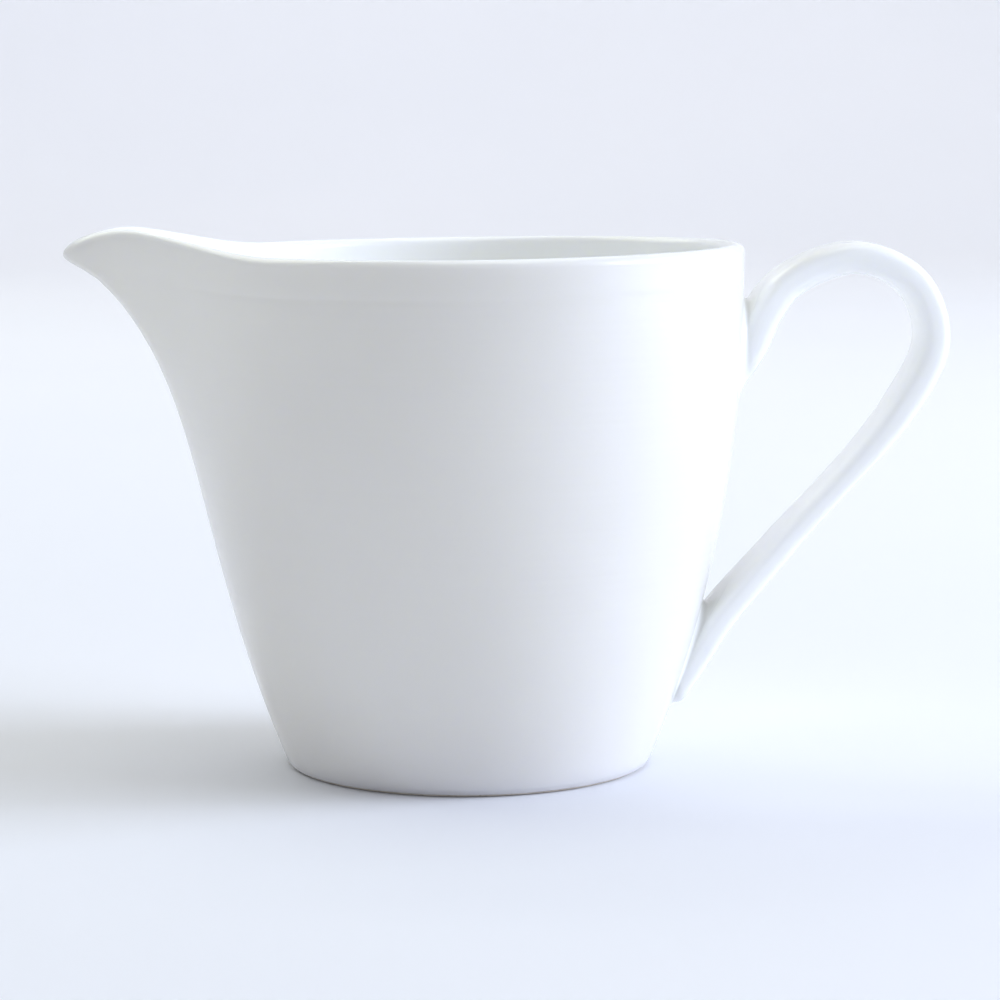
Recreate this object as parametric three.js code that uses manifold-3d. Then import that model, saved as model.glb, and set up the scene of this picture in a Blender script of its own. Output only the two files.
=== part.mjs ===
// Porcelain cream jug: a slip-cast vessel with a pulled spout, a cast strap handle luted on with slip, and an
// unglazed foot. Millimetres, +Z up, spout towards -X, handle towards +X, symmetric about the XZ plane.

import * as THREE from "three";
import { mergeVertices } from "three/addons/utils/BufferGeometryUtils.js";
import Module from "manifold-3d";

// ---------------------------------------------------------------- driving dimensions

const RIM_HEIGHT = 75.5; // lowest point of the rim, beside the spout
const RIM_RADIUS = 40.3; // outside radius at the rim
const WALL_TAPER = 13.8; // how much slimmer the outside is at the table than at the rim
const TAPER_POWER = 2.25; // how early the wall turns upright
const LIP_RADIUS = 1.25; // half-round crown of the rim
const WALL_AT_FOOT = 3.4;
const FLOOR_HEIGHT = 6.4; // inside floor above the table
const FLOOR_FLAT_RADIUS = 13;
const FLOOR_BLEND_HEIGHT = 9; // height of the curve from floor to wall

const FOOT_HEIGHT = 1.1;
const FOOT_INNER_RADIUS = 22.9;
const FOOT_FLAT_RADIUS = 25.7; // outside edge of the ring that touches the table
const FOOT_INNER_EDGE = 0.35;
const RECESS_HEIGHT = 3.1; // underside of the floor above the table
const RECESS_BLEND = 1.2;

const SPOUT_REACH = 17.8; // how far the lip is drawn out past the round body
const SPOUT_FADE = 11.9; // the pull falls by a factor e for each of these millimetres below the lip
const SPOUT_NOSE = 2; // the pull keeps its full reach over about this depth, which rounds the underside of the tip
const SPOUT_HALF_WIDTH = 34;
const SPOUT_FLANK_POWER = 4.24;
const SPOUT_TIP_SOFTNESS = 4;
const SPOUT_INSIDE_LAG = 0.12; // the inside is pulled this much less, which keeps the wall's thickness
const SPOUT_START = 12; // distance from the axis over which the pull sets in
const SPOUT_RISE = 3.5; // how far the rim climbs towards the spout, over its low point
const SPOUT_RISE_FROM = 28.5; // distances from the axis towards the spout
const SPOUT_RISE_TO = 52;
const BEAK_FROM = 47;
const BEAK_DROOP = 2.7; // how far the tip bends down again
const HANDLE_SIDE_RISE = 0.75;
const RISE_FADE_POWER = 12; // the rim's rise dies out down the wall with this power of the height

const STRAP_WIDTH = 9.6;
const STRAP_THICKNESS = 4.75;
const STRAP_FLARE = 3.4; // extra width where the strap meets the body
const STRAP_THICKENING = 0.55; // extra thickness there
const STRAP_THINNING = 0.95; // how much thinner the straight lower part is
const STRAP_OUTER_SQUARENESS = 3.4; // superellipse exponents of the strap's two faces
const STRAP_INNER_SQUARENESS = 3.2;
const STRAP_SIDES = 20;
const STRAP_STEPS = 52;
const UPPER_ROOT_AT = 0.08; // shares of the strap's length
const UPPER_ROOT_SPREAD = 0.1;
const THINNING_FROM = 0.5;
const THINNING_TO = 0.66;
const LOWER_FLARE_FROM = 0.66;
const LOWER_FLARE_TO = 0.92;
const TAIL_FROM = 0.975;

const JOINT_GAP = 0.3; // clearance between touching pieces
const SLIP_THICKNESS = 0.5;
const SLIP_MARGIN = 0.6; // how far the slip squeezes out around the strap
const BETWEEN_ROOTS = 45; // height between the handle's two roots
const CUT_FLOOR = -1; // solids that only cut others reach down to here

const AROUND = 84; // facets around the body
const SPOUT_CROWDING = 0.5; // draws the facets together at the spout
const SPOUT_DETAIL_POWER = 1.7; // draws the wall's rings together towards the lip

// Centreline of the strap in the XZ plane, from inside the wall over the top to inside the wall again.
const STRAP_LINE = [
  [33.0, 53.0],
  [38.4, 57.2],
  [41.4, 61.5],
  [43.5, 65.9],
  [47.6, 70.6],
  [57.5, 73.8],
  [65.9, 69.9],
  [68.7, 61.8],
  [63.9, 51.5],
  [46.0, 31.3],
  [36.7, 20.6],
  [33.2, 14.9],
  [30.2, 8.4],
];

const { clamp, lerp, smoothstep } = THREE.MathUtils;
const LIP_BASE = RIM_HEIGHT - LIP_RADIUS;
const BODY_BOTTOM = FOOT_HEIGHT + JOINT_GAP;

const wasm = await Module();
wasm.setup();

// ---------------------------------------------------------------- materials

function porcelain(name, color, roughness) {
  return new THREE.MeshStandardMaterial({ name, color, roughness, metalness: 0 });
}

const glaze = () => porcelain("white_glaze", 0xf3f5f6, 0.12);
const bisque = () => porcelain("unglazed_porcelain", 0xe9e2d6, 0.75);
const slip = () => porcelain("glazed_slip", 0xeef0f1, 0.2);

// ---------------------------------------------------------------- shared geometry helpers

function mapVertices(geometry, move) {
  const position = geometry.getAttribute("position");
  const point = new THREE.Vector3();
  for (let i = 0; i < position.count; i += 1) {
    point.fromBufferAttribute(position, i);
    move(point);
    position.setXYZ(i, point.x, point.y, point.z);
  }
  return geometry;
}

function crowdTowardsSpout(point) {
  const radius = Math.hypot(point.x, point.y);
  const angle = Math.atan2(point.y, -point.x);
  const moved = angle - SPOUT_CROWDING * Math.sin(angle);
  point.x = -radius * Math.cos(moved);
  point.y = radius * Math.sin(moved);
}

function turned(profile) {
  const lathe = new THREE.LatheGeometry(profile, AROUND);
  lathe.rotateX(Math.PI / 2);
  return mapVertices(lathe, crowdTowardsSpout);
}

function samples(count, make) {
  return Array.from({ length: count + 1 }, (_, i) => make(i / count));
}

function toSolid(geometry) {
  const bare = new THREE.BufferGeometry();
  const source = geometry.index ? geometry.toNonIndexed() : geometry;
  bare.setAttribute("position", source.getAttribute("position"));
  const merged = mergeVertices(bare, 1e-4);
  return new wasm.Manifold(
    new wasm.Mesh({
      numProp: 3,
      vertProperties: merged.getAttribute("position").array,
      triVerts: new Uint32Array(merged.index.array),
    }),
  );
}

function toGeometry(solid) {
  const mesh = solid.getMesh();
  const geometry = new THREE.BufferGeometry();
  geometry.setAttribute("position", new THREE.BufferAttribute(mesh.vertProperties, 3));
  geometry.setIndex(new THREE.BufferAttribute(mesh.triVerts, 1));
  return geometry;
}

// ---------------------------------------------------------------- vessel with spout

function outerRadius(z) {
  return RIM_RADIUS - WALL_TAPER * Math.max(0, 1 - z / RIM_HEIGHT) ** TAPER_POWER;
}

function wallThickness(z) {
  return lerp(WALL_AT_FOOT, 2 * LIP_RADIUS, z / LIP_BASE);
}

function innerRadius(z) {
  return outerRadius(z) - wallThickness(z);
}

function undersideProfile() {
  const arcCentreRadius = FOOT_INNER_RADIUS - RECESS_BLEND;
  const arcCentreHeight = RECESS_HEIGHT - RECESS_BLEND;
  const blend = samples(4, (t) => {
    const angle = (Math.PI / 2) * (1 - t);
    return new THREE.Vector2(
      arcCentreRadius + RECESS_BLEND * Math.cos(angle),
      arcCentreHeight + RECESS_BLEND * Math.sin(angle),
    );
  });
  return [
    new THREE.Vector2(0, RECESS_HEIGHT),
    ...blend,
    new THREE.Vector2(FOOT_INNER_RADIUS, BODY_BOTTOM),
  ];
}

function outerWallProfile() {
  return samples(16, (t) => {
    const z = lerp(LIP_BASE, BODY_BOTTOM, (1 - t) ** SPOUT_DETAIL_POWER);
    return new THREE.Vector2(outerRadius(z), z);
  });
}

function lipProfile() {
  const middle = outerRadius(LIP_BASE) - LIP_RADIUS;
  return samples(6, (t) => {
    const angle = Math.PI * t;
    return new THREE.Vector2(middle + LIP_RADIUS * Math.cos(angle), LIP_BASE + LIP_RADIUS * Math.sin(angle));
  }).slice(1);
}

function innerWallProfile() {
  const blendTop = FLOOR_HEIGHT + FLOOR_BLEND_HEIGHT;
  const wall = samples(11, (t) => {
    const z = lerp(LIP_BASE, blendTop, t ** SPOUT_DETAIL_POWER);
    return new THREE.Vector2(innerRadius(z), z);
  }).slice(1);
  const corner = new THREE.QuadraticBezierCurve(
    new THREE.Vector2(innerRadius(blendTop), blendTop),
    new THREE.Vector2(innerRadius(FLOOR_HEIGHT), FLOOR_HEIGHT),
    new THREE.Vector2(FLOOR_FLAT_RADIUS, FLOOR_HEIGHT),
  );
  return [...wall, ...corner.getPoints(6).slice(1), new THREE.Vector2(0, FLOOR_HEIGHT)];
}

// Side view of the rim: a slow rise to the handle, a quick one to the spout, and the spout's drooping tip.
function rimRise(towardsSpout) {
  const back = clamp((SPOUT_RISE_FROM - towardsSpout) / (SPOUT_RISE_FROM + RIM_RADIUS), 0, 1);
  const front = smoothstep(towardsSpout, SPOUT_RISE_FROM, SPOUT_RISE_TO);
  const beak = clamp((towardsSpout - BEAK_FROM) / (RIM_RADIUS + SPOUT_REACH - BEAK_FROM), 0, 1);
  return HANDLE_SIDE_RISE * back ** 2 + SPOUT_RISE * front - BEAK_DROOP * beak ** 2;
}

function spoutFlank(y) {
  const soft = Math.hypot(y, SPOUT_TIP_SOFTNESS) - SPOUT_TIP_SOFTNESS;
  return clamp(1 - soft / SPOUT_HALF_WIDTH, 0, 1) ** SPOUT_FLANK_POWER;
}

// Depth below the lip as the pull feels it: none at first, then the real depth.
function fadeDepth(depth) {
  return depth * (1 - Math.exp(-depth / SPOUT_NOSE));
}

function pullSpout(point) {
  const radius = Math.hypot(point.x, point.y);
  const height = Math.min(point.z, LIP_BASE);
  const inward = clamp((outerRadius(height) - radius) / wallThickness(height), 0, 1);
  const reach = SPOUT_REACH * (1 - SPOUT_INSIDE_LAG * inward) * smoothstep(-point.x, 0, SPOUT_START);
  point.x -= reach * Math.exp(-fadeDepth(LIP_BASE - height) / SPOUT_FADE) * spoutFlank(point.y);
  point.z += rimRise(-point.x) * (height / LIP_BASE) ** RISE_FADE_POWER;
}

function makeBody() {
  const profile = [...undersideProfile(), ...outerWallProfile(), ...lipProfile(), ...innerWallProfile()];
  return mapVertices(turned(profile), pullSpout);
}

// The solid that fills the round body out to a given distance from its outside wall, clear of the spout.
function filledBody(distance) {
  const wall = samples(16, (t) => {
    const z = lerp(BODY_BOTTOM, LIP_BASE, t);
    return new THREE.Vector2(outerRadius(z) + distance, z);
  });
  const bottom = new THREE.Vector2(outerRadius(BODY_BOTTOM) + distance, CUT_FLOOR);
  return toSolid(turned([new THREE.Vector2(0, CUT_FLOOR), bottom, ...wall, new THREE.Vector2(0, LIP_BASE)]));
}

// ---------------------------------------------------------------- strap handle

const strapLine = new THREE.CatmullRomCurve3(
  STRAP_LINE.map(([x, z]) => new THREE.Vector3(x, 0, z)),
  false,
  "centripetal",
);

function powered(value, exponent) {
  return Math.sign(value) * Math.abs(value) ** (2 / exponent);
}

// Swells the strap at both roots, and rounds off its lower tail.
function strapSection(along, margin) {
  const upperRoot = Math.exp(-(((along - UPPER_ROOT_AT) / UPPER_ROOT_SPREAD) ** 2));
  const lowerRoot = smoothstep(along, LOWER_FLARE_FROM, LOWER_FLARE_TO);
  const intoTail = clamp((along - TAIL_FROM) / (1 - TAIL_FROM), 0, 1);
  const tail = Math.sqrt(Math.max(1e-3, 1 - intoTail ** 2));
  const root = Math.max(upperRoot, lowerRoot);
  const width = STRAP_WIDTH + STRAP_FLARE * root;
  const straight = smoothstep(along, THINNING_FROM, THINNING_TO);
  const thickness = STRAP_THICKNESS + STRAP_THICKENING * root - STRAP_THINNING * straight;
  return {
    halfWidth: (width / 2 + margin) * tail,
    halfThickness: (thickness / 2 + margin) * tail,
  };
}

// A strap whose section grows by the margin: its own solid at 0, the outline of the slip around it when larger.
function strapSolid(margin) {
  const round = new THREE.CylinderGeometry(1, 1, 1, STRAP_SIDES, STRAP_STEPS);
  const swept = mapVertices(round, (point) => {
    const along = clamp(point.y + 0.5, 0, 1);
    const centre = strapLine.getPointAt(along);
    const tangent = strapLine.getTangentAt(along);
    const { halfWidth, halfThickness } = strapSection(along, margin);
    const squareness = point.z > 0 ? STRAP_INNER_SQUARENESS : STRAP_OUTER_SQUARENESS;
    const across = halfWidth * powered(point.x, squareness);
    const inwards = halfThickness * powered(point.z, squareness);
    point.set(centre.x + inwards * tangent.z, across, centre.z - inwards * tangent.x);
  });
  return toSolid(swept);
}

function makeHandle() {
  const clearance = 2 * JOINT_GAP + SLIP_THICKNESS;
  return toGeometry(strapSolid(0).subtract(filledBody(clearance)));
}

// The slip is a thin skin on the body's wall, seen through a window over one of the handle's two roots.
function makeSlipJoint(lowest, highest) {
  const span = 2 * RIM_RADIUS;
  const window = new THREE.BoxGeometry(span, span, highest - lowest);
  window.translate(RIM_RADIUS, 0, (lowest + highest) / 2);
  const skin = filledBody(JOINT_GAP + SLIP_THICKNESS).subtract(filledBody(JOINT_GAP));
  return toGeometry(skin.intersect(strapSolid(SLIP_MARGIN)).intersect(toSolid(window)));
}

// ---------------------------------------------------------------- foot

function makeFootRing() {
  const rolledEdge = new THREE.QuadraticBezierCurve(
    new THREE.Vector2(FOOT_FLAT_RADIUS, 0),
    new THREE.Vector2(outerRadius(0), 0),
    new THREE.Vector2(outerRadius(FOOT_HEIGHT), FOOT_HEIGHT),
  );
  const inner = [
    new THREE.Vector2(FOOT_INNER_RADIUS, FOOT_HEIGHT),
    new THREE.Vector2(FOOT_INNER_RADIUS, FOOT_INNER_EDGE),
    new THREE.Vector2(FOOT_INNER_RADIUS + FOOT_INNER_EDGE, 0),
  ];
  return turned([inner[2], ...rolledEdge.getPoints(3), ...inner]);
}

// ---------------------------------------------------------------- assembly

function named(name, geometry, material) {
  geometry.computeVertexNormals();
  const mesh = new THREE.Mesh(geometry, material);
  mesh.name = name;
  return mesh;
}

const jug = new THREE.Group();
jug.name = "cream_jug";
jug.add(
  named("body", makeBody(), glaze()),
  named("handle", makeHandle(), glaze()),
  named("handle_upper_slip_joint", makeSlipJoint(BETWEEN_ROOTS, RIM_HEIGHT), slip()),
  named("handle_lower_slip_joint", makeSlipJoint(BODY_BOTTOM, BETWEEN_ROOTS), slip()),
  named("foot_ring", makeFootRing(), bisque()),
);

// The origin is under the middle of the whole jug, on the table.
const box = new THREE.Box3().setFromObject(jug);
const middle = box.getCenter(new THREE.Vector3());
jug.children.forEach((mesh) => mesh.geometry.translate(-middle.x, -middle.y, -box.min.z));

export default jug;
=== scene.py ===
"""Porcelain cream jug on a pale sweep: vessel with a pulled spout, luted strap handle and unglazed foot.

Shapes are worked out in millimetres about the jug's own axis, spout towards -X, and put into the frame
in metres.
"""

import math

import bmesh
import bpy
import numpy as np
from mathutils import Matrix, Vector


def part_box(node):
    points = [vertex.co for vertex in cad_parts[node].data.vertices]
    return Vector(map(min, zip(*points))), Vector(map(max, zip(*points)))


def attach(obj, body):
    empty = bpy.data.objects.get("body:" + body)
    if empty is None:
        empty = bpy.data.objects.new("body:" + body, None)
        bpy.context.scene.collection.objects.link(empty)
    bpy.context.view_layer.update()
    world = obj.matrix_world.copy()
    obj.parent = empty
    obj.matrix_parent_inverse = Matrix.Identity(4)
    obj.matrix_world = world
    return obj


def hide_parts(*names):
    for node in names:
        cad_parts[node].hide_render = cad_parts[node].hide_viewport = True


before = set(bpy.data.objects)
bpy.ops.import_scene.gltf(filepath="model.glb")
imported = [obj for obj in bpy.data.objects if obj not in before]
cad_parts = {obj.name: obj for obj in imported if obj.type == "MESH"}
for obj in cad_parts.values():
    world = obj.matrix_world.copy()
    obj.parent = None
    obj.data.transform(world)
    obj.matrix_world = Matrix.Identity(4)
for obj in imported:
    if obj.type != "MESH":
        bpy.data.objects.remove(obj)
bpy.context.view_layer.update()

# ---------------------------------------------------------------- driving dimensions, millimetres

MM = 0.001

RIM_HEIGHT = 75.5  # lowest point of the rim, beside the spout
RIM_RADIUS = 40.3
WALL_TAPER = 13.8  # how much slimmer the outside is at the table than at the rim
TAPER_POWER = 2.25
LIP_RADIUS = 1.25
LIP_BASE = RIM_HEIGHT - LIP_RADIUS
WALL_AT_FOOT = 3.4
FLOOR_HEIGHT = 6.4
FLOOR_FLAT_RADIUS = 13.0
FLOOR_BLEND_HEIGHT = 9.0

FOOT_HEIGHT = 1.1
FOOT_INNER_RADIUS = 22.9
FOOT_FLAT_RADIUS = 25.7
FOOT_EDGE = 0.35  # rounding of the foot's inner edge
FOOT_SETBACK = 0.16  # the bare foot stands this far inside the glaze
FOOT_TOP = FOOT_HEIGHT + 0.4  # hidden in the vessel
VESSEL_BOTTOM = FOOT_HEIGHT + 0.1  # hidden in the foot
GLAZE_STOP = 0.4  # the glaze runs down the outside of the foot to this height
GLAZE_SKIRT = 0.5  # its thickness there, over the bare foot
GLAZE_ROLL = 0.2  # rounding of the glaze where it stops
SKIRT_INNER_STOP = GLAZE_STOP + 0.05
RECESS_HEIGHT = 3.1
RECESS_BLEND = 1.2

SPOUT_REACH = 17.8
SPOUT_FADE = 11.9
SPOUT_NOSE = 2.0  # the pull keeps its full reach over about this depth, which rounds the tip
SPOUT_HALF_WIDTH = 34.0
SPOUT_FLANK_POWER = 4.24
SPOUT_TIP_SOFTNESS = 4.0
SPOUT_INSIDE_LAG = 0.12
SPOUT_START = 12.0  # distance from the axis over which the pull sets in
SPOUT_RISE = 3.5
SPOUT_RISE_FROM = 28.5
SPOUT_RISE_TO = 52.0
BEAK_FROM = 47.0
BEAK_DROOP = 2.7
HANDLE_SIDE_RISE = 0.75
RISE_FADE_POWER = 12.0

STRAP_WIDTH = 9.6
STRAP_THICKNESS = 4.75
STRAP_FLARE = 3.4
STRAP_THICKENING = 0.55
STRAP_THINNING = 0.95
STRAP_OUTER_SQUARENESS = 3.4
STRAP_INNER_SQUARENESS = 3.2
UPPER_ROOT_AT = 0.08  # from here to TAIL_FROM: shares of the strap's length
UPPER_ROOT_SPREAD = 0.1
THINNING_FROM = 0.5
THINNING_TO = 0.66
LOWER_FLARE_FROM = 0.66
LOWER_FLARE_TO = 0.92
TAIL_FROM = 0.975
TAIL_END = 1e-3  # square of the share of the section that is left at the tail's end
UPPER_FILLET = 2.1  # reach of the slip fillets over the wall and the strap
UPPER_FILLET_RUN = 1.6  # the slip runs this much further at the foot of the upper root
UPPER_FILLET_FILL = 4.2  # and this much further up the narrow gap above it
LOWER_FILLET = 1.7
LOWER_FILLET_RUN = 7.0  # the slip fills the narrow gap above the lower root
FILLET_SINK = 0.03  # the fillet's outer edge ends this far under the glaze
ROOT_DEPTH = 1.2  # the roots' closing faces lie this deep in the wall

# Centreline of the strap in the XZ plane. It starts inside the cup and ends inside the wall: only the
# part outside the wall is made.
STRAP_LINE = [
    (33.0, 53.0), (38.4, 57.2), (41.4, 61.5), (43.5, 65.9), (47.6, 70.6), (57.5, 73.8), (65.9, 69.9),
    (68.7, 61.8), (63.9, 51.5), (46.0, 31.3), (36.7, 20.6), (33.0, 14.9), (28.8, 8.6),
]

# Turning marks: shallow grooves left round the outside of the wall.
MARKS_FROM = 22.0
MARKS_TO = 68.0
MARK_SPACING = (2.2, 3.6)
MARK_DEPTH = 0.032
MARK_WIDTH = 0.42
FINE_MARK_SPACING = (0.8, 1.5)
FINE_MARK_DEPTH = 0.012
FINE_MARK_WIDTH = 0.26
MARK_STRENGTH = (0.3, 1.0)  # share of the depth, drawn for each groove
MARK_FADING = 0.3  # share of a groove's depth that comes and goes round the wall
MARK_FADES = (1, 4)  # how often it does so: from the first up to just below the second
BAND_LINE_HEIGHT = 70.1  # one firmer line ends the smooth band under the lip
BAND_LINE_DEPTH = 0.08
BAND_LINE_WIDTH = 0.55
MARK_SEED = 11

# ---------------------------------------------------------------- fineness of the meshes

AROUND = 224
SPOUT_CROWDING = 0.5
RECESS_FLAT_POINTS = 14
RECESS_BLEND_POINTS = 9
ROLL_POINTS = 7
OUTER_WALL_POINTS = 270
LIP_STEPS = 20
INNER_WALL_POINTS = 80
FLOOR_BLEND_POINTS = 25
FLOOR_POINTS = 9
FOOT_OUTSIDE_POINTS = 13
FOOT_EDGE_POINTS = 7
FOOT_FLAT_POINTS = 6
CURVE_STEPS = 80  # between neighbouring points of STRAP_LINE
STRAP_AROUND = 96
STRAP_SAMPLES = 1600  # rows of the surface on which the roots are found
STRAP_ROWS = 300
FILLET_ROWS = 10
SLOPE_STEP = 0.01  # millimetres
MERGE_DISTANCE = 1e-7  # metres

# Mesh attribute for painted light: 0 on the outside wall, 1 from the lip's crest inwards and on the handle
# and its slip, where the glaze colour is painted whiter in place of light the lamps don't bring there.
PAINTED_LIGHT_ATTRIBUTE = "painted_light_mask"

FOOT_LOW, FOOT_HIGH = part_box("foot_ring")
AXIS_X = (FOOT_LOW.x + FOOT_HIGH.x) / 2 / MM


# ---------------------------------------------------------------- mesh helpers


def smoothstep(value, start, end):
    t = np.clip((value - start) / (end - start), 0, 1)
    return t * t * (3 - 2 * t)


def quadratic(start, control, end, t):
    t = np.asarray(t)
    return (1 - t) ** 2 * start + 2 * t * (1 - t) * control + t**2 * end


def add_object(name, vertices, faces, material, painted_light):
    """A smooth mesh object from points in millimetres about the jug's axis."""
    in_frame = (np.asarray(vertices) + (AXIS_X, 0, 0)) * MM
    mesh = bpy.data.meshes.new(name)
    mesh.from_pydata(in_frame.tolist(), [], faces)
    # Painted light: each point's share of the whiter glaze colour that stands in for missing light.
    painted_light_share = np.broadcast_to(painted_light, len(in_frame)).astype(np.float32)
    mesh.attributes.new(PAINTED_LIGHT_ATTRIBUTE, "FLOAT", "POINT").data.foreach_set("value", painted_light_share)
    bm = bmesh.new()
    bm.from_mesh(mesh)
    bmesh.ops.remove_doubles(bm, verts=bm.verts, dist=MERGE_DISTANCE)
    bmesh.ops.recalc_face_normals(bm, faces=bm.faces)
    bm.to_mesh(mesh)
    bm.free()
    mesh.shade_smooth()
    mesh.materials.append(material)
    made = bpy.data.objects.new(name, mesh)
    bpy.context.scene.collection.objects.link(made)
    return made


def grid_faces(rows, columns, wrap_rows):
    """Quads of a grid whose columns close on themselves, and whose rows do too where asked."""
    row = np.arange(rows if wrap_rows else rows - 1)[:, None]
    column = np.arange(columns)[None, :]
    up = (row + 1) % rows
    right = (column + 1) % columns
    corners = (row * columns + column, row * columns + right, up * columns + right, up * columns + column)
    return np.stack(corners, axis=-1).reshape(-1, 4).tolist()


def add_grid(name, grid, material, painted_light=0.0, wrap_rows=False, cap_first=False):
    """A mesh object over a grid of points, rows by columns.

    The share of painted light (a whiter glaze colour standing in for light the lamps miss) is given for all
    points or for each, and `cap_first` closes the first row with a face.
    """
    rows, columns = grid.shape[:2]
    faces = grid_faces(rows, columns, wrap_rows)
    if cap_first:
        faces.append(list(range(columns)))
    return add_object(name, grid.reshape(-1, 3), faces, material, painted_light)


# ---------------------------------------------------------------- vessel


def outer_radius(z):
    return RIM_RADIUS - WALL_TAPER * np.maximum(0, 1 - z / RIM_HEIGHT) ** TAPER_POWER


def wall_thickness(z):
    return WALL_AT_FOOT + (2 * LIP_RADIUS - WALL_AT_FOOT) * z / LIP_BASE


def inner_radius(z):
    return outer_radius(z) - wall_thickness(z)


def rim_rise(towards_spout):
    back = np.clip((SPOUT_RISE_FROM - towards_spout) / (SPOUT_RISE_FROM + RIM_RADIUS), 0, 1)
    front = smoothstep(towards_spout, SPOUT_RISE_FROM, SPOUT_RISE_TO)
    beak = np.clip((towards_spout - BEAK_FROM) / (RIM_RADIUS + SPOUT_REACH - BEAK_FROM), 0, 1)
    return HANDLE_SIDE_RISE * back**2 + SPOUT_RISE * front - BEAK_DROOP * beak**2


def spout_flank(y):
    soft = np.hypot(y, SPOUT_TIP_SOFTNESS) - SPOUT_TIP_SOFTNESS
    return np.clip(1 - soft / SPOUT_HALF_WIDTH, 0, 1) ** SPOUT_FLANK_POWER


def fade_depth(depth):
    """Depth below the lip as the pull feels it: none at first, then the real depth."""
    return depth * (1 - np.exp(-depth / SPOUT_NOSE))


def pull_spout(x, y, z):
    height = np.minimum(z, LIP_BASE)
    inward = np.clip((outer_radius(height) - np.hypot(x, y)) / wall_thickness(height), 0, 1)
    reach = SPOUT_REACH * (1 - SPOUT_INSIDE_LAG * inward) * smoothstep(-x, 0, SPOUT_START)
    pulled = x - reach * np.exp(-fade_depth(LIP_BASE - height) / SPOUT_FADE) * spout_flank(y)
    return pulled, y, z + rim_rise(-pulled) * (height / LIP_BASE) ** RISE_FADE_POWER


def groove(z, at, width):
    return np.exp(-(((z - at) / width) ** 2))


def turning_marks(z, angle):
    """Depth of the grooves, as a negative offset of the outside wall."""
    rng = np.random.default_rng(MARK_SEED)
    relief = np.zeros(np.broadcast(z, angle).shape)
    families = (
        (MARK_SPACING, MARK_DEPTH, MARK_WIDTH),
        (FINE_MARK_SPACING, FINE_MARK_DEPTH, FINE_MARK_WIDTH),
    )
    for spacing, depth, width in families:
        at = MARKS_FROM
        while at < MARKS_TO:
            strength = rng.uniform(*MARK_STRENGTH)
            round_wall = np.cos(angle * rng.integers(*MARK_FADES) + rng.uniform(0, 2 * math.pi))
            fading = 1 - MARK_FADING + MARK_FADING * round_wall
            relief -= depth * strength * fading * groove(z, at, width)
            at += rng.uniform(*spacing)
    return relief - BAND_LINE_DEPTH * groove(z, BAND_LINE_HEIGHT, BAND_LINE_WIDTH)


def underside_profile():
    """From the middle of the underside out to the foot and down into it."""
    flat_radii = np.linspace(0, FOOT_INNER_RADIUS - RECESS_BLEND, RECESS_FLAT_POINTS)
    flat = [(radius, RECESS_HEIGHT) for radius in flat_radii]
    blend = [
        (
            FOOT_INNER_RADIUS - RECESS_BLEND * (1 - math.cos(turn)),
            RECESS_HEIGHT - RECESS_BLEND * (1 - math.sin(turn)),
        )
        for turn in np.linspace(math.pi / 2, 0, RECESS_BLEND_POINTS)[1:]
    ]
    return [*flat, *blend, (FOOT_INNER_RADIUS, VESSEL_BOTTOM)]


def skirt_profile():
    """Down the hidden side of the glaze that covers the foot, and round its lower edge."""
    outside = float(outer_radius(GLAZE_STOP))
    inside = outside - GLAZE_SKIRT
    roll = [
        (outside - GLAZE_ROLL * (1 - math.sin(turn)), GLAZE_STOP + GLAZE_ROLL * (1 - math.cos(turn)))
        for turn in np.linspace(0, math.pi / 2, ROLL_POINTS)
    ]
    return [(inside, VESSEL_BOTTOM), (inside, SKIRT_INNER_STOP), *roll]


def lip_profile():
    middle = float(outer_radius(LIP_BASE)) - LIP_RADIUS
    return [
        (middle + LIP_RADIUS * math.cos(turn), LIP_BASE + LIP_RADIUS * math.sin(turn))
        for turn in np.linspace(0, math.pi, LIP_STEPS + 1)[1:]
    ]


def inside_profile():
    """Down the inner wall, round into the floor and in to its middle."""
    blend_top = FLOOR_HEIGHT + FLOOR_BLEND_HEIGHT
    down = np.linspace(LIP_BASE, blend_top, INNER_WALL_POINTS)[1:]
    t = np.linspace(0, 1, FLOOR_BLEND_POINTS)[1:]
    blend_radii = quadratic(inner_radius(blend_top), inner_radius(FLOOR_HEIGHT), FLOOR_FLAT_RADIUS, t)
    blend_heights = quadratic(blend_top, FLOOR_HEIGHT, FLOOR_HEIGHT, t)
    floor = [(radius, FLOOR_HEIGHT) for radius in np.linspace(FLOOR_FLAT_RADIUS, 0, FLOOR_POINTS)[1:]]
    return [*zip(inner_radius(down), down), *zip(blend_radii, blend_heights), *floor]


def vessel_profile():
    """Radius and height from the middle of the underside, over the lip, to the middle of the inside floor.

    With it go the rows that are the outside wall.
    """
    below = [*underside_profile(), *skirt_profile()]
    heights = np.linspace(GLAZE_STOP + GLAZE_ROLL, LIP_BASE, OUTER_WALL_POINTS)[1:]
    wall = list(zip(outer_radius(heights), heights))
    profile = [*below, *wall, *lip_profile(), *inside_profile()]
    return np.array(profile, float), slice(len(below), len(below) + len(wall))


def spout_angles():
    """Angles from the spout, crowded together round it."""
    angle = np.linspace(-math.pi, math.pi, AROUND, endpoint=False)
    return angle - SPOUT_CROWDING * np.sin(angle)


def make_vessel(material):
    profile, wall_rows = vessel_profile()
    angle = spout_angles()[None, :]
    z = np.repeat(profile[:, 1:], AROUND, axis=1)
    radius = np.repeat(profile[:, :1], AROUND, axis=1)
    radius[wall_rows] += turning_marks(z[wall_rows], angle)
    grid = np.stack(pull_spout(-radius * np.cos(angle), radius * np.sin(angle), z), axis=-1)
    # Painted light: whiter from the lip's crest inwards, in place of light the lamps don't bring into the
    # cup.
    over_lip = (np.arange(len(profile)) - wall_rows.stop) / (LIP_STEPS / 2)
    painted_light = np.repeat(np.clip(over_lip, 0, 1), AROUND)
    return add_grid("vessel_glazed", grid, material, painted_light)


# ---------------------------------------------------------------- foot


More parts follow.
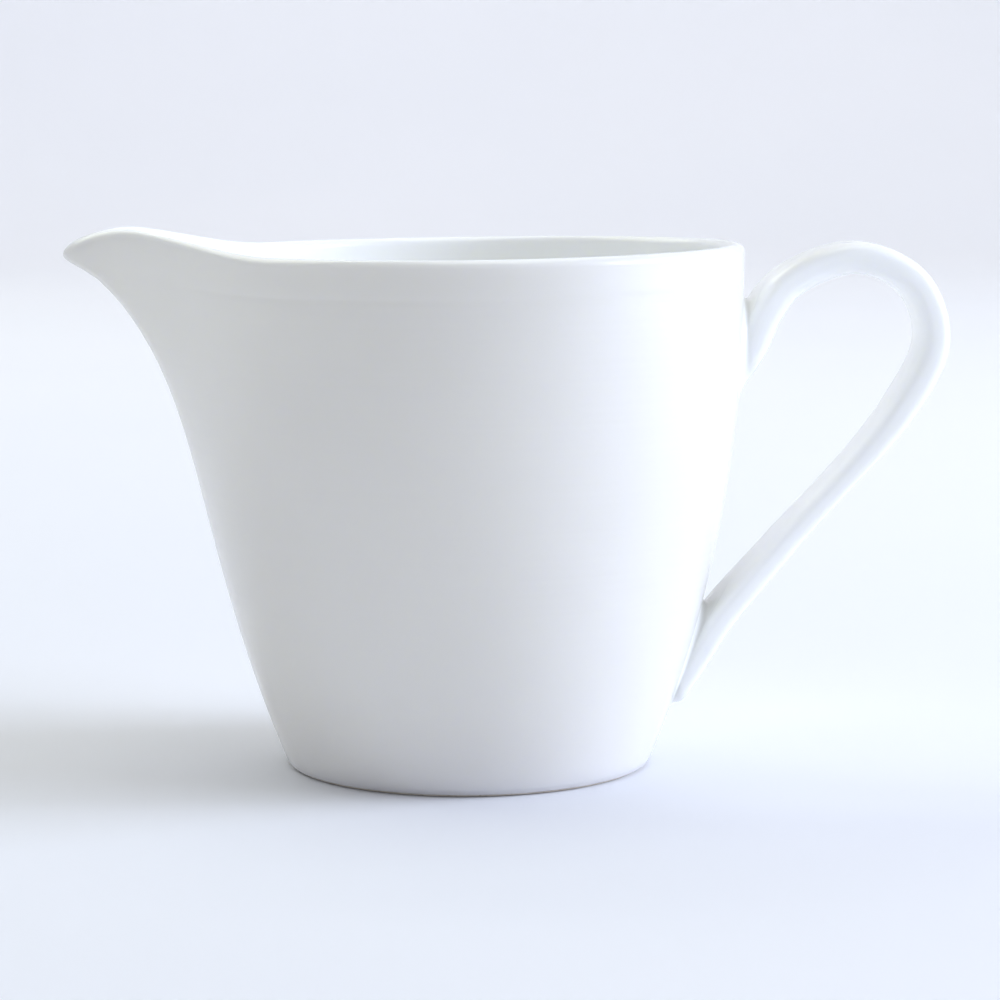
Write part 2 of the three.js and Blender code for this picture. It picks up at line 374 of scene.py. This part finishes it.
def foot_profile():
    """A closed loop: down the inner edge, out over the flat, up the outside, and back inside the vessel."""
    inner = FOOT_INNER_RADIUS + FOOT_SETBACK
    outer_top = float(outer_radius(FOOT_HEIGHT)) - FOOT_SETBACK
    t = np.linspace(0, 1, FOOT_OUTSIDE_POINTS)
    outside = zip(
        quadratic(FOOT_FLAT_RADIUS, float(outer_radius(0)) - FOOT_SETBACK, outer_top, t),
        quadratic(0.0, 0.0, FOOT_HEIGHT, t),
    )
    inner_edge = [
        (inner + FOOT_EDGE * (1 - math.sin(turn)), FOOT_EDGE * (1 - math.cos(turn)))
        for turn in np.linspace(math.pi / 2, 0, FOOT_EDGE_POINTS)
    ]
    flat = [(radius, 0.0) for radius in np.linspace(inner + FOOT_EDGE, FOOT_FLAT_RADIUS, FOOT_FLAT_POINTS)]
    return np.array([(inner, FOOT_TOP), *inner_edge, *flat[1:-1], *outside, (outer_top, FOOT_TOP)], float)


def make_foot(material):
    profile = foot_profile()
    angle = spout_angles()[None, :]
    x = -profile[:, :1] * np.cos(angle)
    y = profile[:, :1] * np.sin(angle)
    z = np.repeat(profile[:, 1:], AROUND, axis=1)
    return add_grid("foot_unglazed", np.stack([x, y, z], axis=-1), material, wrap_rows=True)


# ---------------------------------------------------------------- strap handle


def strap_centreline(count):
    """Points and unit tangents, evenly spaced along a centripetal Catmull-Rom curve through STRAP_LINE."""
    knots = np.array(STRAP_LINE, float)
    knots = np.vstack([2 * knots[0] - knots[1], knots, 2 * knots[-1] - knots[-2]])
    t = np.linspace(0, 1, CURVE_STEPS, endpoint=False)[:, None]
    pieces = []
    for p0, p1, p2, p3 in zip(knots, knots[1:], knots[2:], knots[3:]):
        d0, d1, d2 = (math.sqrt(np.linalg.norm(b - a)) for a, b in ((p0, p1), (p1, p2), (p2, p3)))
        leave = ((p1 - p0) / d0 - (p2 - p0) / (d0 + d1) + (p2 - p1) / d1) * d1
        arrive = ((p2 - p1) / d1 - (p3 - p1) / (d1 + d2) + (p3 - p2) / d2) * d1
        pieces.append(
            p1
            + leave * t
            + (-3 * p1 + 3 * p2 - 2 * leave - arrive) * t**2
            + (2 * p1 - 2 * p2 + leave + arrive) * t**3
        )
    line = np.vstack([*pieces, knots[-2:-1]])
    length = np.concatenate([[0], np.cumsum(np.linalg.norm(np.diff(line, axis=0), axis=1))])
    even = np.linspace(0, length[-1], count)
    points = np.stack([np.interp(even, length, line[:, i]) for i in range(2)], axis=1)
    tangents = np.gradient(points, axis=0)
    return points, tangents / np.linalg.norm(tangents, axis=1, keepdims=True)


def powered(value, squareness):
    return np.sign(value) * np.abs(value) ** (2 / squareness)


def strap_surface(count):
    """Grid of points on the whole strap: a row for each place along it, a column for each place round it."""
    along = np.linspace(0, 1, count)[:, None]
    centre, tangent = strap_centreline(count)
    upper = np.exp(-(((along - UPPER_ROOT_AT) / UPPER_ROOT_SPREAD) ** 2))
    root = np.maximum(upper, smoothstep(along, LOWER_FLARE_FROM, LOWER_FLARE_TO))
    straight = smoothstep(along, THINNING_FROM, THINNING_TO)
    into_tail = np.clip((along - TAIL_FROM) / (1 - TAIL_FROM), 0, 1)
    tail = np.sqrt(np.maximum(TAIL_END, 1 - into_tail**2))
    half_width = (STRAP_WIDTH + STRAP_FLARE * root) / 2 * tail
    half_thickness = (STRAP_THICKNESS + STRAP_THICKENING * root - STRAP_THINNING * straight) / 2 * tail
    turn = np.linspace(0, 2 * math.pi, STRAP_AROUND, endpoint=False)[None, :]
    squareness = np.where(np.cos(turn) > 0, STRAP_INNER_SQUARENESS, STRAP_OUTER_SQUARENESS)
    across = half_width * powered(np.sin(turn), squareness)
    inwards = half_thickness * powered(np.cos(turn), squareness)
    x = centre[:, :1] + inwards * tangent[:, 1:]
    z = centre[:, 1:] - inwards * tangent[:, :1]
    return np.stack([x, across, z], axis=-1)


def on_wall(point, sunk=0.0):
    """The point of the outside wall at the same y and z, on the handle's side."""
    radius = outer_radius(point[:, 2]) - sunk
    x = np.sqrt(radius**2 - point[:, 1] ** 2)
    return np.stack([x, point[:, 1], point[:, 2]], axis=1)


def wall_normal(point):
    above = outer_radius(point[:, 2] + SLOPE_STEP)
    below = outer_radius(point[:, 2] - SLOPE_STEP)
    slope = (above - below) / (2 * SLOPE_STEP)
    radius = np.hypot(point[:, 0], point[:, 1])
    normal = np.stack([point[:, 0] / radius, point[:, 1] / radius, -slope], axis=1)
    return normal / np.linalg.norm(normal, axis=1, keepdims=True)


def column_at(surface, row):
    """Each column's point at its own fractional row."""
    low = np.clip(np.floor(row).astype(int), 0, len(surface) - 2)
    share = (row - low)[:, None]
    column = np.arange(surface.shape[1])
    return surface[low, column] * (1 - share) + surface[low + 1, column] * share


def root_rows(surface, reach):
    """Each column's fractional rows where it leaves the wall and where it is its `reach` further out."""
    outside = np.hypot(surface[..., 0], surface[..., 1]) - outer_radius(surface[..., 2])
    rows = np.arange(len(surface))
    leaving, reached = [], []
    for column in range(surface.shape[1]):
        free = outside[:, column]
        first = int(np.argmax(free > 0))
        crossing = first - free[first] / (free[first] - free[first - 1])
        steps = np.linalg.norm(np.diff(surface[:, column], axis=0), axis=1)
        length = np.concatenate([[0], np.cumsum(steps)])
        start = np.interp(crossing, rows, length)
        leaving.append(crossing)
        reached.append(np.interp(start + reach[column], length, rows))
    return np.array(leaving), np.array(reached)


def root_fillet(surface, reach, run, fill=0.0):
    """Grid from deep in the wall out over a slip fillet to the strap, and each column's first strap row.

    The fillet reaches `run` further on the strap's inner side and `fill` further on its outer side.
    """
    turn = np.linspace(0, 2 * math.pi, surface.shape[1], endpoint=False)
    reach = reach + run * np.maximum(0, np.cos(turn)) ** 2 + fill * np.maximum(0, -np.cos(turn)) ** 2
    leaving, reached = root_rows(surface, reach)
    corner = on_wall(column_at(surface, leaving))
    strap_edge = column_at(surface, reached)
    along_contour = np.roll(corner, -1, axis=0) - np.roll(corner, 1, axis=0)
    outward = np.cross(along_contour, wall_normal(corner))
    outward /= np.linalg.norm(outward, axis=1, keepdims=True)
    if np.sum((corner - corner.mean(axis=0)) * outward) < 0:
        outward = -outward
    spread = corner + reach[:, None] * outward
    wall_edge = on_wall(spread, FILLET_SINK)
    rows = [on_wall(spread, ROOT_DEPTH)]
    rows += [quadratic(wall_edge, corner, strap_edge, t) for t in np.linspace(0, 1, FILLET_ROWS + 1)]
    return np.array(rows), reached


def make_handle(glaze, slip):
    surface = strap_surface(STRAP_SAMPLES)
    upper_grid, upper_start = root_fillet(surface, UPPER_FILLET, UPPER_FILLET_RUN, UPPER_FILLET_FILL)
    lower_grid, lower_start = root_fillet(surface[::-1], LOWER_FILLET, LOWER_FILLET_RUN)
    lower_start = len(surface) - 1 - lower_start
    shares = np.linspace(0, 1, STRAP_ROWS)
    strap_rows = [column_at(surface, upper_start + (lower_start - upper_start) * share) for share in shares]
    # Painted light: the strap and its slip fillets are whiter all over, in place of light the lamps don't
    # bring onto the handle.
    strap = add_grid("handle_strap", np.array(strap_rows), glaze, painted_light=1.0)
    upper = add_grid("slip_fillet_upper", upper_grid, slip, painted_light=1.0, cap_first=True)
    lower = add_grid("slip_fillet_lower", lower_grid, slip, painted_light=1.0, cap_first=True)
    return strap, upper, lower


# ---------------------------------------------------------------- materials

GLAZE_LIGHT = (0.83, 0.81, 0.775)
GLAZE_SHADE = (0.815, 0.795, 0.76)
SLIP_SHADE = (0.81, 0.79, 0.755)
# Painted light: a whiter glaze colour laid inside the cup and on the handle, in place of light the lamps
# don't bring there.
GLAZE_PAINTED_LIGHT = (0.97, 0.975, 0.94)
BISCUIT_LIGHT = (0.78, 0.72, 0.63)
BISCUIT_SHADE = (0.66, 0.58, 0.48)
BISCUIT_SPECK = (0.40, 0.33, 0.26)
PAPER_LIGHT = (0.85, 0.855, 0.885)
PAPER_SHADE = (0.825, 0.835, 0.87)
BLACK = (0.0, 0.0, 0.0)
WHITE = (1.0, 1.0, 1.0)

# Sockets of a colour mix.
MIX_A = 6
MIX_B = 7
MIX_RESULT = 2


class Nodes:
    """A material's node tree, with short calls to add nodes and join them."""

    def __init__(self, name):
        self.material = bpy.data.materials.new(name)
        self.material.use_nodes = True
        self.tree = self.material.node_tree
        self.shader = self.tree.nodes["Principled BSDF"]

    def add(self, kind, **settings):
        node = self.tree.nodes.new(kind)
        for key, value in settings.items():
            setattr(node, key, value)
        return node

    def join(self, output, socket):
        self.tree.links.new(output, socket)

    def feed(self, output, name):
        """Joins an output to the shader's input of that name."""
        self.join(output, self.shader.inputs[name])

    def dial(self, values):
        """Sets the shader's inputs by name."""
        for name, value in values.items():
            self.shader.inputs[name].default_value = value

    def noise(self, scale, detail):
        node = self.add("ShaderNodeTexNoise")
        node.inputs["Scale"].default_value = scale
        node.inputs["Detail"].default_value = detail
        self.join(self.add("ShaderNodeTexCoord").outputs["Object"], node.inputs["Vector"])
        return node.outputs["Fac"]

    def ramp(self, value, *stops):
        """A colour for each value, between stops of a position and a colour each."""
        node = self.add("ShaderNodeValToRGB")
        for element, (position, colour) in zip(node.color_ramp.elements, stops):
            element.position = position
            element.color = (*colour, 1.0)
        self.join(value, node.inputs["Fac"])
        return node.outputs["Color"]

    def mix(self, factor, base, colour):
        """The base turned to a plain colour by the factor."""
        node = self.add("ShaderNodeMix", data_type="RGBA")
        node.inputs[MIX_B].default_value = (*colour, 1.0)
        self.join(factor, node.inputs["Factor"])
        self.join(base, node.inputs[MIX_A])
        return node.outputs[MIX_RESULT]

    def spread(self, value, low, high):
        node = self.add("ShaderNodeMapRange")
        node.inputs["To Min"].default_value = low
        node.inputs["To Max"].default_value = high
        self.join(value, node.inputs["Value"])
        return node.outputs["Result"]

    def bump(self, height, distance, strength, normal=None):
        node = self.add("ShaderNodeBump")
        node.inputs["Distance"].default_value = distance
        node.inputs["Strength"].default_value = strength
        self.join(height, node.inputs["Height"])
        if normal is not None:
            self.join(normal, node.inputs["Normal"])
        return node.outputs["Normal"]


def glazed(name, shade, coat_roughness, depth):
    """Fired white glaze: nearly even colour, a smooth clear coat over a softer white, faint orange-peel.

    Its colour turns to a whiter painted light by the mesh's painted-light attribute, in place of light the
    lamps don't bring inside the cup and onto the handle. `depth` is how much light goes in.
    """
    nodes = Nodes(name)
    blotches = nodes.ramp(nodes.noise(38.0, detail=3.0), (0.35, shade), (0.65, GLAZE_LIGHT))
    # Painted light: the attribute turns the colour whiter inside the cup and on the handle.
    painted_light = nodes.add("ShaderNodeAttribute", attribute_name=PAINTED_LIGHT_ATTRIBUTE).outputs["Fac"]
    nodes.feed(nodes.mix(painted_light, blotches, GLAZE_PAINTED_LIGHT), "Base Color")
    nodes.feed(nodes.spread(nodes.noise(120.0, detail=2.0), 0.28, 0.4), "Roughness")
    peel = nodes.bump(nodes.noise(900.0, detail=1.0), 0.00002, 0.35)
    swell = nodes.bump(nodes.noise(140.0, detail=1.0), 0.00006, 0.35, normal=peel)
    nodes.feed(swell, "Normal")
    nodes.feed(swell, "Coat Normal")
    nodes.dial({
        "IOR": 1.5,
        "Coat Weight": 0.7,
        "Coat Roughness": coat_roughness,
        "Coat IOR": 1.5,
        "Subsurface Weight": depth,
        "Subsurface Radius": (1.0, 1.0, 0.8),
        "Subsurface Scale": 0.004,
    })
    return nodes.material


def unglazed(name):
    """Bare fired porcelain: warm, matt and fine-grained, with a few darker specks."""
    nodes = Nodes(name)
    body = nodes.ramp(nodes.noise(260.0, detail=5.0), (0.3, BISCUIT_SHADE), (0.7, BISCUIT_LIGHT))
    specks = nodes.ramp(nodes.noise(2600.0, detail=1.0), (0.68, BLACK), (0.76, WHITE))
    nodes.feed(nodes.mix(specks, body, BISCUIT_SPECK), "Base Color")
    nodes.feed(nodes.spread(nodes.noise(700.0, detail=3.0), 0.7, 0.92), "Roughness")
    nodes.feed(nodes.bump(nodes.noise(5200.0, detail=3.0), 0.00004, 0.7), "Normal")
    nodes.dial({"IOR": 1.45})
    return nodes.material


def paper(name):
    """Matt pale sweep with the faintest unevenness."""
    nodes = Nodes(name)
    nodes.feed(nodes.ramp(nodes.noise(2.2, detail=3.0), (0.3, PAPER_SHADE), (0.7, PAPER_LIGHT)), "Base Color")
    nodes.feed(nodes.bump(nodes.noise(1500.0, detail=2.0), 0.00003, 0.3), "Normal")
    nodes.dial({"Roughness": 0.75, "Specular IOR Level": 0.08})
    return nodes.material


# ---------------------------------------------------------------- the jug

white_glaze = glazed("white_glaze", GLAZE_SHADE, coat_roughness=0.07, depth=0.45)
glazed_slip = glazed("glazed_slip", SLIP_SHADE, coat_roughness=0.09, depth=0.0)
unglazed_porcelain = unglazed("unglazed_porcelain")

vessel = make_vessel(white_glaze)
foot = make_foot(unglazed_porcelain)
strap, upper_fillet, lower_fillet = make_handle(white_glaze, glazed_slip)

for piece, node, slot in (
    (vessel, "body", "white_glaze"),
    (strap, "handle", "white_glaze"),
    (upper_fillet, "handle_upper_slip_joint", "glazed_slip"),
    (lower_fillet, "handle_lower_slip_joint", "glazed_slip"),
    (foot, "foot_ring", "unglazed_porcelain"),
):
    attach(piece, "root")
    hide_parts(node)

# ---------------------------------------------------------------- camera, metres and degrees

CAMERA_TURN = math.radians(5.0)  # the spout is turned this much towards the camera
CAMERA_PITCH = math.radians(7.108)
CAMERA_ROLL = math.radians(-0.2)
CAMERA_DISTANCE = 0.452
CAMERA_HEIGHT = 0.095
CAMERA_ASIDE = 0.00475
CAMERA_LENS = 111.78  # millimetres, and so is the sensor
SENSOR_WIDTH = 36.0
CLIP_START = 0.01
CLIP_END = 50.0

RIGHTWARDS = Vector((math.cos(CAMERA_TURN), -math.sin(CAMERA_TURN), 0))
BACKWARDS = Vector((math.sin(CAMERA_TURN), math.cos(CAMERA_TURN), 0))
JUG_AXIS = Vector((AXIS_X * MM, 0, 0))


def placed(right, back, up):
    """A point measured from the jug's foot as the camera sees it, in metres."""
    return JUG_AXIS + RIGHTWARDS * right + BACKWARDS * back + Vector((0, 0, up))


def make_camera():
    data = bpy.data.cameras.new("camera")
    data.lens = CAMERA_LENS
    data.sensor_width = SENSOR_WIDTH
    data.clip_start = CLIP_START
    data.clip_end = CLIP_END
    camera = bpy.data.objects.new("camera", data)
    bpy.context.scene.collection.objects.link(camera)
    forward = BACKWARDS * math.cos(CAMERA_PITCH) - Vector((0, 0, math.sin(CAMERA_PITCH)))
    looking = forward.to_track_quat("-Z", "Y").to_matrix() @ Matrix.Rotation(CAMERA_ROLL, 3, "Z")
    place = placed(CAMERA_ASIDE, -CAMERA_DISTANCE, CAMERA_HEIGHT)
    camera.matrix_world = Matrix.Translation(place) @ looking.to_4x4()
    bpy.context.scene.camera = camera


# ---------------------------------------------------------------- sweep and light, metres

COVE_FLOOR_RADIUS = 1.6
COVE_BEND = 0.7
COVE_TOP = 2.4
COVE_AROUND = 96
COVE_FLOOR_POINTS = 17
COVE_BEND_POINTS = 25
COVE_WALL_POINTS = 7

LIGHT_DISTANCE = 1.4
LIGHT_AIM_HEIGHT = 0.04
WINDOW_COLOUR = (0.73, 0.81, 1.0)
WORLD_COLOUR = (1.0, 0.98, 0.96)
WORLD_STRENGTH = 0.325


def make_cove():
    """A floor that bends up into a round wall, open at the top."""
    floor = [(radius, 0.0) for radius in np.linspace(0.0, COVE_FLOOR_RADIUS, COVE_FLOOR_POINTS)]
    bend = [
        (COVE_FLOOR_RADIUS + COVE_BEND * math.sin(turn), COVE_BEND * (1 - math.cos(turn)))
        for turn in np.linspace(0, math.pi / 2, COVE_BEND_POINTS)[1:]
    ]
    heights = np.linspace(COVE_BEND, COVE_TOP, COVE_WALL_POINTS)[1:]
    wall = [(COVE_FLOOR_RADIUS + COVE_BEND, height) for height in heights]
    profile = np.array(floor + bend + wall) / MM
    angle = np.linspace(0, 2 * math.pi, COVE_AROUND, endpoint=False)[None, :]
    x = profile[:, :1] * np.cos(angle)
    y = profile[:, :1] * np.sin(angle)
    z = np.repeat(profile[:, 1:], COVE_AROUND, axis=1)
    cove = add_grid("cove", np.stack([x, y, z], axis=-1), paper("cove_paper"))


def add_panel(name, place, aim, size, power, colour):
    """A soft rectangular light."""
    data = bpy.data.lights.new(name, "AREA")
    data.shape = "RECTANGLE"
    data.size, data.size_y = size
    data.energy = power
    data.color = colour
    light = bpy.data.objects.new(name, data)
    bpy.context.scene.collection.objects.link(light)
    light.location = place
    light.rotation_euler = (aim - place).to_track_quat("-Z", "Y").to_euler()


def add_light(name, azimuth, elevation, size, power, colour):
    """A panel aimed at the jug, by degrees. Azimuth 0 is to the camera's right and 90 behind the jug."""
    a = math.radians(azimuth)
    e = math.radians(elevation)
    aim = placed(0, 0, LIGHT_AIM_HEIGHT)
    level = RIGHTWARDS * math.cos(a) * math.cos(e) + BACKWARDS * math.sin(a) * math.cos(e)
    place = aim + (level + Vector((0, 0, math.sin(e)))) * LIGHT_DISTANCE
    add_panel(name, place, aim, size, power, colour)


def make_world():
    world = bpy.data.worlds.new("studio")
    world.use_nodes = True
    background = world.node_tree.nodes["Background"]
    background.inputs["Color"].default_value = (*WORLD_COLOUR, 1.0)
    background.inputs["Strength"].default_value = WORLD_STRENGTH
    bpy.context.scene.world = world


make_camera()
make_cove()
make_world()
add_light("window_right", 4, 22, (0.6, 0.55), 13.5, WINDOW_COLOUR)
add_light("window_right_front", -14, 22, (0.6, 0.55), 7.2, WINDOW_COLOUR)
add_light("window_back_left", 142, 45, (1.1, 0.7), 4.0, (0.95, 1.0, 0.88))
add_light("overhead", 0, 85, (1.1, 0.7), 3.6, (0.95, 1.0, 0.92))
add_panel("ground_glow", placed(0, 1.2, 1.8), placed(0, 2.3, 0.8), (1.2, 1.2), 13.0, WHITE)
bpy.context.scene.view_settings.view_transform = "Standard"
